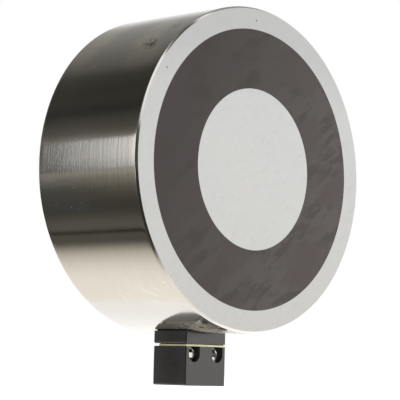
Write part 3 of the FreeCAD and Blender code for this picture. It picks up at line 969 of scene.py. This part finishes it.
def reflector(name, across, along, place, level, tint=STUDIO_TINT):
    """A glowing grid that only reflections see. Place and level are functions of its two coordinates."""
    corners = [place(u, v) for u in across for v in along]
    rows = len(along)
    quads = []
    for i in range(len(across) - 1):
        for j in range(rows - 1):
            first = i * rows + j
            quads.append((first, first + 1, first + rows + 1, first + rows))
    data = bpy.data.meshes.new(name)
    data.from_pydata(corners, [], quads)
    shade = data.attributes.new("shade", "FLOAT_VECTOR", "POINT")
    glows = [glow_colour(level(u, v), tint) for u in across for v in along]
    shade.data.foreach_set("vector", [part for glow_parts in glows for part in glow_parts])
    data.materials.append(glow(name))
    made = new_object(name, data)
    only_reflected(made)


def between(stops):
    """A function that runs straight between stops of (place, value)."""
    places = [place for place, _ in stops]
    values = [value for _, value in stops]
    return lambda place: float(np.interp(place, places, values))


def profile(across_stops, along_stops):
    """A level from two sets of stops, one for each coordinate."""
    across = between(across_stops)
    along = between(along_stops)
    return lambda u, v: across(u) * along(v)


def grid(stops, steps=GRID_STEPS):
    """Even steps from the first stop to the last."""
    return np.linspace(stops[0][0], stops[-1][0], steps + 1)


def round_axis(radius):
    """A function that gives the place at an angle round the drum's axis and a distance along it."""
    def place(degrees, y):
        angle = math.radians(degrees)
        return (radius * math.cos(angle), y, radius * math.sin(angle))
    return place


def in_front(azimuth, elevation):
    """The place in front of the drum at an azimuth from -Y and an elevation."""
    across, rise = math.radians(azimuth), math.radians(elevation)
    level = FRONT_RADIUS * math.cos(rise)
    return (level * math.sin(across), -level * math.cos(across), FRONT_RADIUS * math.sin(rise))


def stripe(angle, y):
    """What the soft stripe multiplies the bands by."""
    aside = (angle - STRIPE_MIDDLE[0]) / STRIPE_REACH[0]
    away = (y - STRIPE_MIDDLE[1]) / STRIPE_REACH[1]
    return 1 + STRIPE_GAIN * math.exp(-aside ** 2 - away ** 2)


def mirrored(x, seen):
    """The place on the floor that the drum's side mirrors, by its X and the Y where it is seen."""
    reach = math.hypot(x + DRUM_RADIUS, FLOOR_Z)
    across = math.hypot(CAMERA_PLACE[0] + DRUM_RADIUS, CAMERA_PLACE[2])
    return (x, seen + reach * (seen - CAMERA_PLACE[1]) / across, FLOOR_Z + SHEET_LIFT)


def sheet_level(x, seen):
    """How bright the sheet to the left is, by its X and the Y where the side shows it."""
    gain = between(SHEET_GAIN)(seen)
    return between(SHEET_ACROSS)(x) * (1 + (gain - 1) * between(SHEET_GAIN_ACROSS)(x))


def bands():
    """The studio bands, with their soft stripe."""
    level = between(STUDIO_BANDS)
    reach = STRIPE_REACHES * STRIPE_REACH[1]
    fine = np.linspace(STRIPE_MIDDLE[1] - reach, STRIPE_MIDDLE[1] + reach, STRIPE_STEPS + 1)
    reflector(
        "studio_bands",
        grid(STUDIO_BANDS, STUDIO_STEPS),
        (STUDIO_START_Y, *fine, STUDIO_END_Y),
        round_axis(STUDIO_RADIUS),
        lambda angle, y: level(angle) * stripe(angle, y),
    )


def panels():
    """The panel to the left, the flags and the panel in front, and the card."""
    reflector(
        "side_panel",
        grid(PANEL_ROUND, PANEL_STEPS_ROUND),
        grid(PANEL_ALONG, PANEL_STEPS_ALONG),
        round_axis(PANEL_RADIUS),
        profile(PANEL_ROUND, PANEL_ALONG),
    )
    for name, (turn_stops, up_stops) in FRONT_PIECES.items():
        shade = profile(turn_stops, up_stops)
        reflector(name, grid(turn_stops, FRONT_STEPS), grid(up_stops), in_front, shade)
    reflector(
        "block_card",
        grid(CARD_ALONG),
        grid(CARD_UP),
        lambda y, z: (CARD_X, y, z),
        profile(CARD_ALONG, CARD_UP),
        CARD_TINT,
    )


def sheets():
    """The two sheets on the floor."""
    lines = -np.geomspace(SHEET_NEAR, SHEET_FAR, SHEET_LINES)
    across = np.unique([x for x, _ in SHEET_ACROSS] + list(lines))
    reflector("floor_sheet", across, SHEET_SEEN, mirrored, sheet_level, SHEET_TINT)
    reflector(
        "front_sheet",
        [x for x, _ in FRONT_SHEET_ACROSS],
        [y for y, _ in FRONT_SHEET_ALONG],
        lambda x, y: (x, y, FLOOR_Z + 2 * SHEET_LIFT),
        profile(FRONT_SHEET_ACROSS, FRONT_SHEET_ALONG),
        SHEET_TINT,
    )


def floor():
    """Plain pale floor, white to the camera and still holding the object's shadow."""
    finish = Finish("floor")
    rays = finish.node("ShaderNodeLightPath").outputs
    seen = finish.times(rays["Is Camera Ray"], FLOOR_LIFT_SEEN)
    reflected = finish.times(rays["Is Glossy Ray"], FLOOR_LIFT_REFLECTED)
    finish.set(Base_Color=FLOOR_TONE, Roughness=FLOOR_ROUGHNESS, Specular_IOR_Level=0.0)
    finish.set(Emission_Color=WHITE, Emission_Strength=finish.larger(seen, reflected))
    half = FLOOR_SIZE / 2
    corners = [(x * half, y * half, FLOOR_Z) for x, y in ((-1, -1), (1, -1), (1, 1), (-1, 1))]
    data = bpy.data.meshes.new("floor")
    data.from_pydata(corners, [], [(0, 1, 2, 3)])
    data.materials.append(finish.material)
    made = new_object("floor", data)


def world():
    """White to the camera and in reflections, pale grey as light."""
    made = bpy.data.worlds.new("studio")
    bpy.context.scene.world = made
    made.use_nodes = True
    light = Shading(made.node_tree)
    rays = light.node("ShaderNodeLightPath").outputs
    seen = light.larger(rays["Is Camera Ray"], rays["Is Glossy Ray"])
    seen = light.larger(seen, rays["Is Transmission Ray"])
    background = light.tree.nodes["Background"]
    light.put(background.inputs["Color"], WHITE)
    light.put(background.inputs["Strength"], light.spread(seen, 0, 1, WORLD_LIGHT, 1.0))


def towards(place, aim):
    """The turn that points a lamp or a camera from its place at its aim."""
    return (Vector(aim) - Vector(place)).to_track_quat("-Z", "Y")


def lamp(name, place, aim, size, power):
    """A soft square lamp."""
    data = bpy.data.lights.new(name, "AREA")
    data.size = size
    data.energy = power
    made = new_object(name, data)
    made.visible_glossy = False
    made.location = place
    made.rotation_euler = towards(place, aim).to_euler()


def camera():
    """The photograph's camera."""
    data = bpy.data.cameras.new("camera")
    data.lens = CAMERA_LENS
    data.sensor_width = CAMERA_SENSOR
    data.clip_start, data.clip_end = CAMERA_CLIP
    made = new_object("camera", data)
    turn = towards(CAMERA_PLACE, CAMERA_AIM).to_matrix()
    roll = Matrix.Rotation(CAMERA_ROLL, 3, "Z")
    made.matrix_world = Matrix.Translation(CAMERA_PLACE) @ (turn @ roll).to_4x4()
    bpy.context.scene.camera = made


# The object

drum = turned("drum", drum_rows(), [turned_side(), turned_edge(), ground_pole(), turned_back(), cut_hole()])
cross_drilled(drum)
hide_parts("magnet_body")
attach(drum, "root")

resin_ring = turned("resin_ring", resin_rows(), [resin()])
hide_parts("potting_ring")
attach(resin_ring, "root")

black = moulding()
for name in ("terminal_saddle", "terminal_housing"):
    dress(name, black)
dress("insulating_board", board())
nickel = plated("nickel terminal", *NICKEL)
zinc = plated("zinc screw", *ZINC)
red_lead = lead()
sleeving = plain_plastic("sleeving", *SLEEVING)
for side in ("left", "right"):
    dress("terminal_tube_" + side, nickel)
    dress("wire_guard_" + side, nickel)
    dress("clamp_screw_front_" + side, zinc)
    dress("clamp_screw_rear_" + side, zinc)
    dress("lead_wire_" + side, red_lead)
    dress("lead_sleeve_" + side, sleeving)
dress("fixing_screw", zinc)
dress("spring_washer", plated("spring steel", *SPRING_STEEL))
dress("coil_bobbin", plain_plastic("nylon", *NYLON))
dress("coil_winding", winding())
dress("winding_wrap", plain_plastic("polyester tape", *TAPE))

# The stage

floor()
world()
bands()
panels()
sheets()
for name, values in LAMPS.items():
    lamp(name, *values)
camera()
bpy.context.scene.view_settings.view_transform = "Standard"
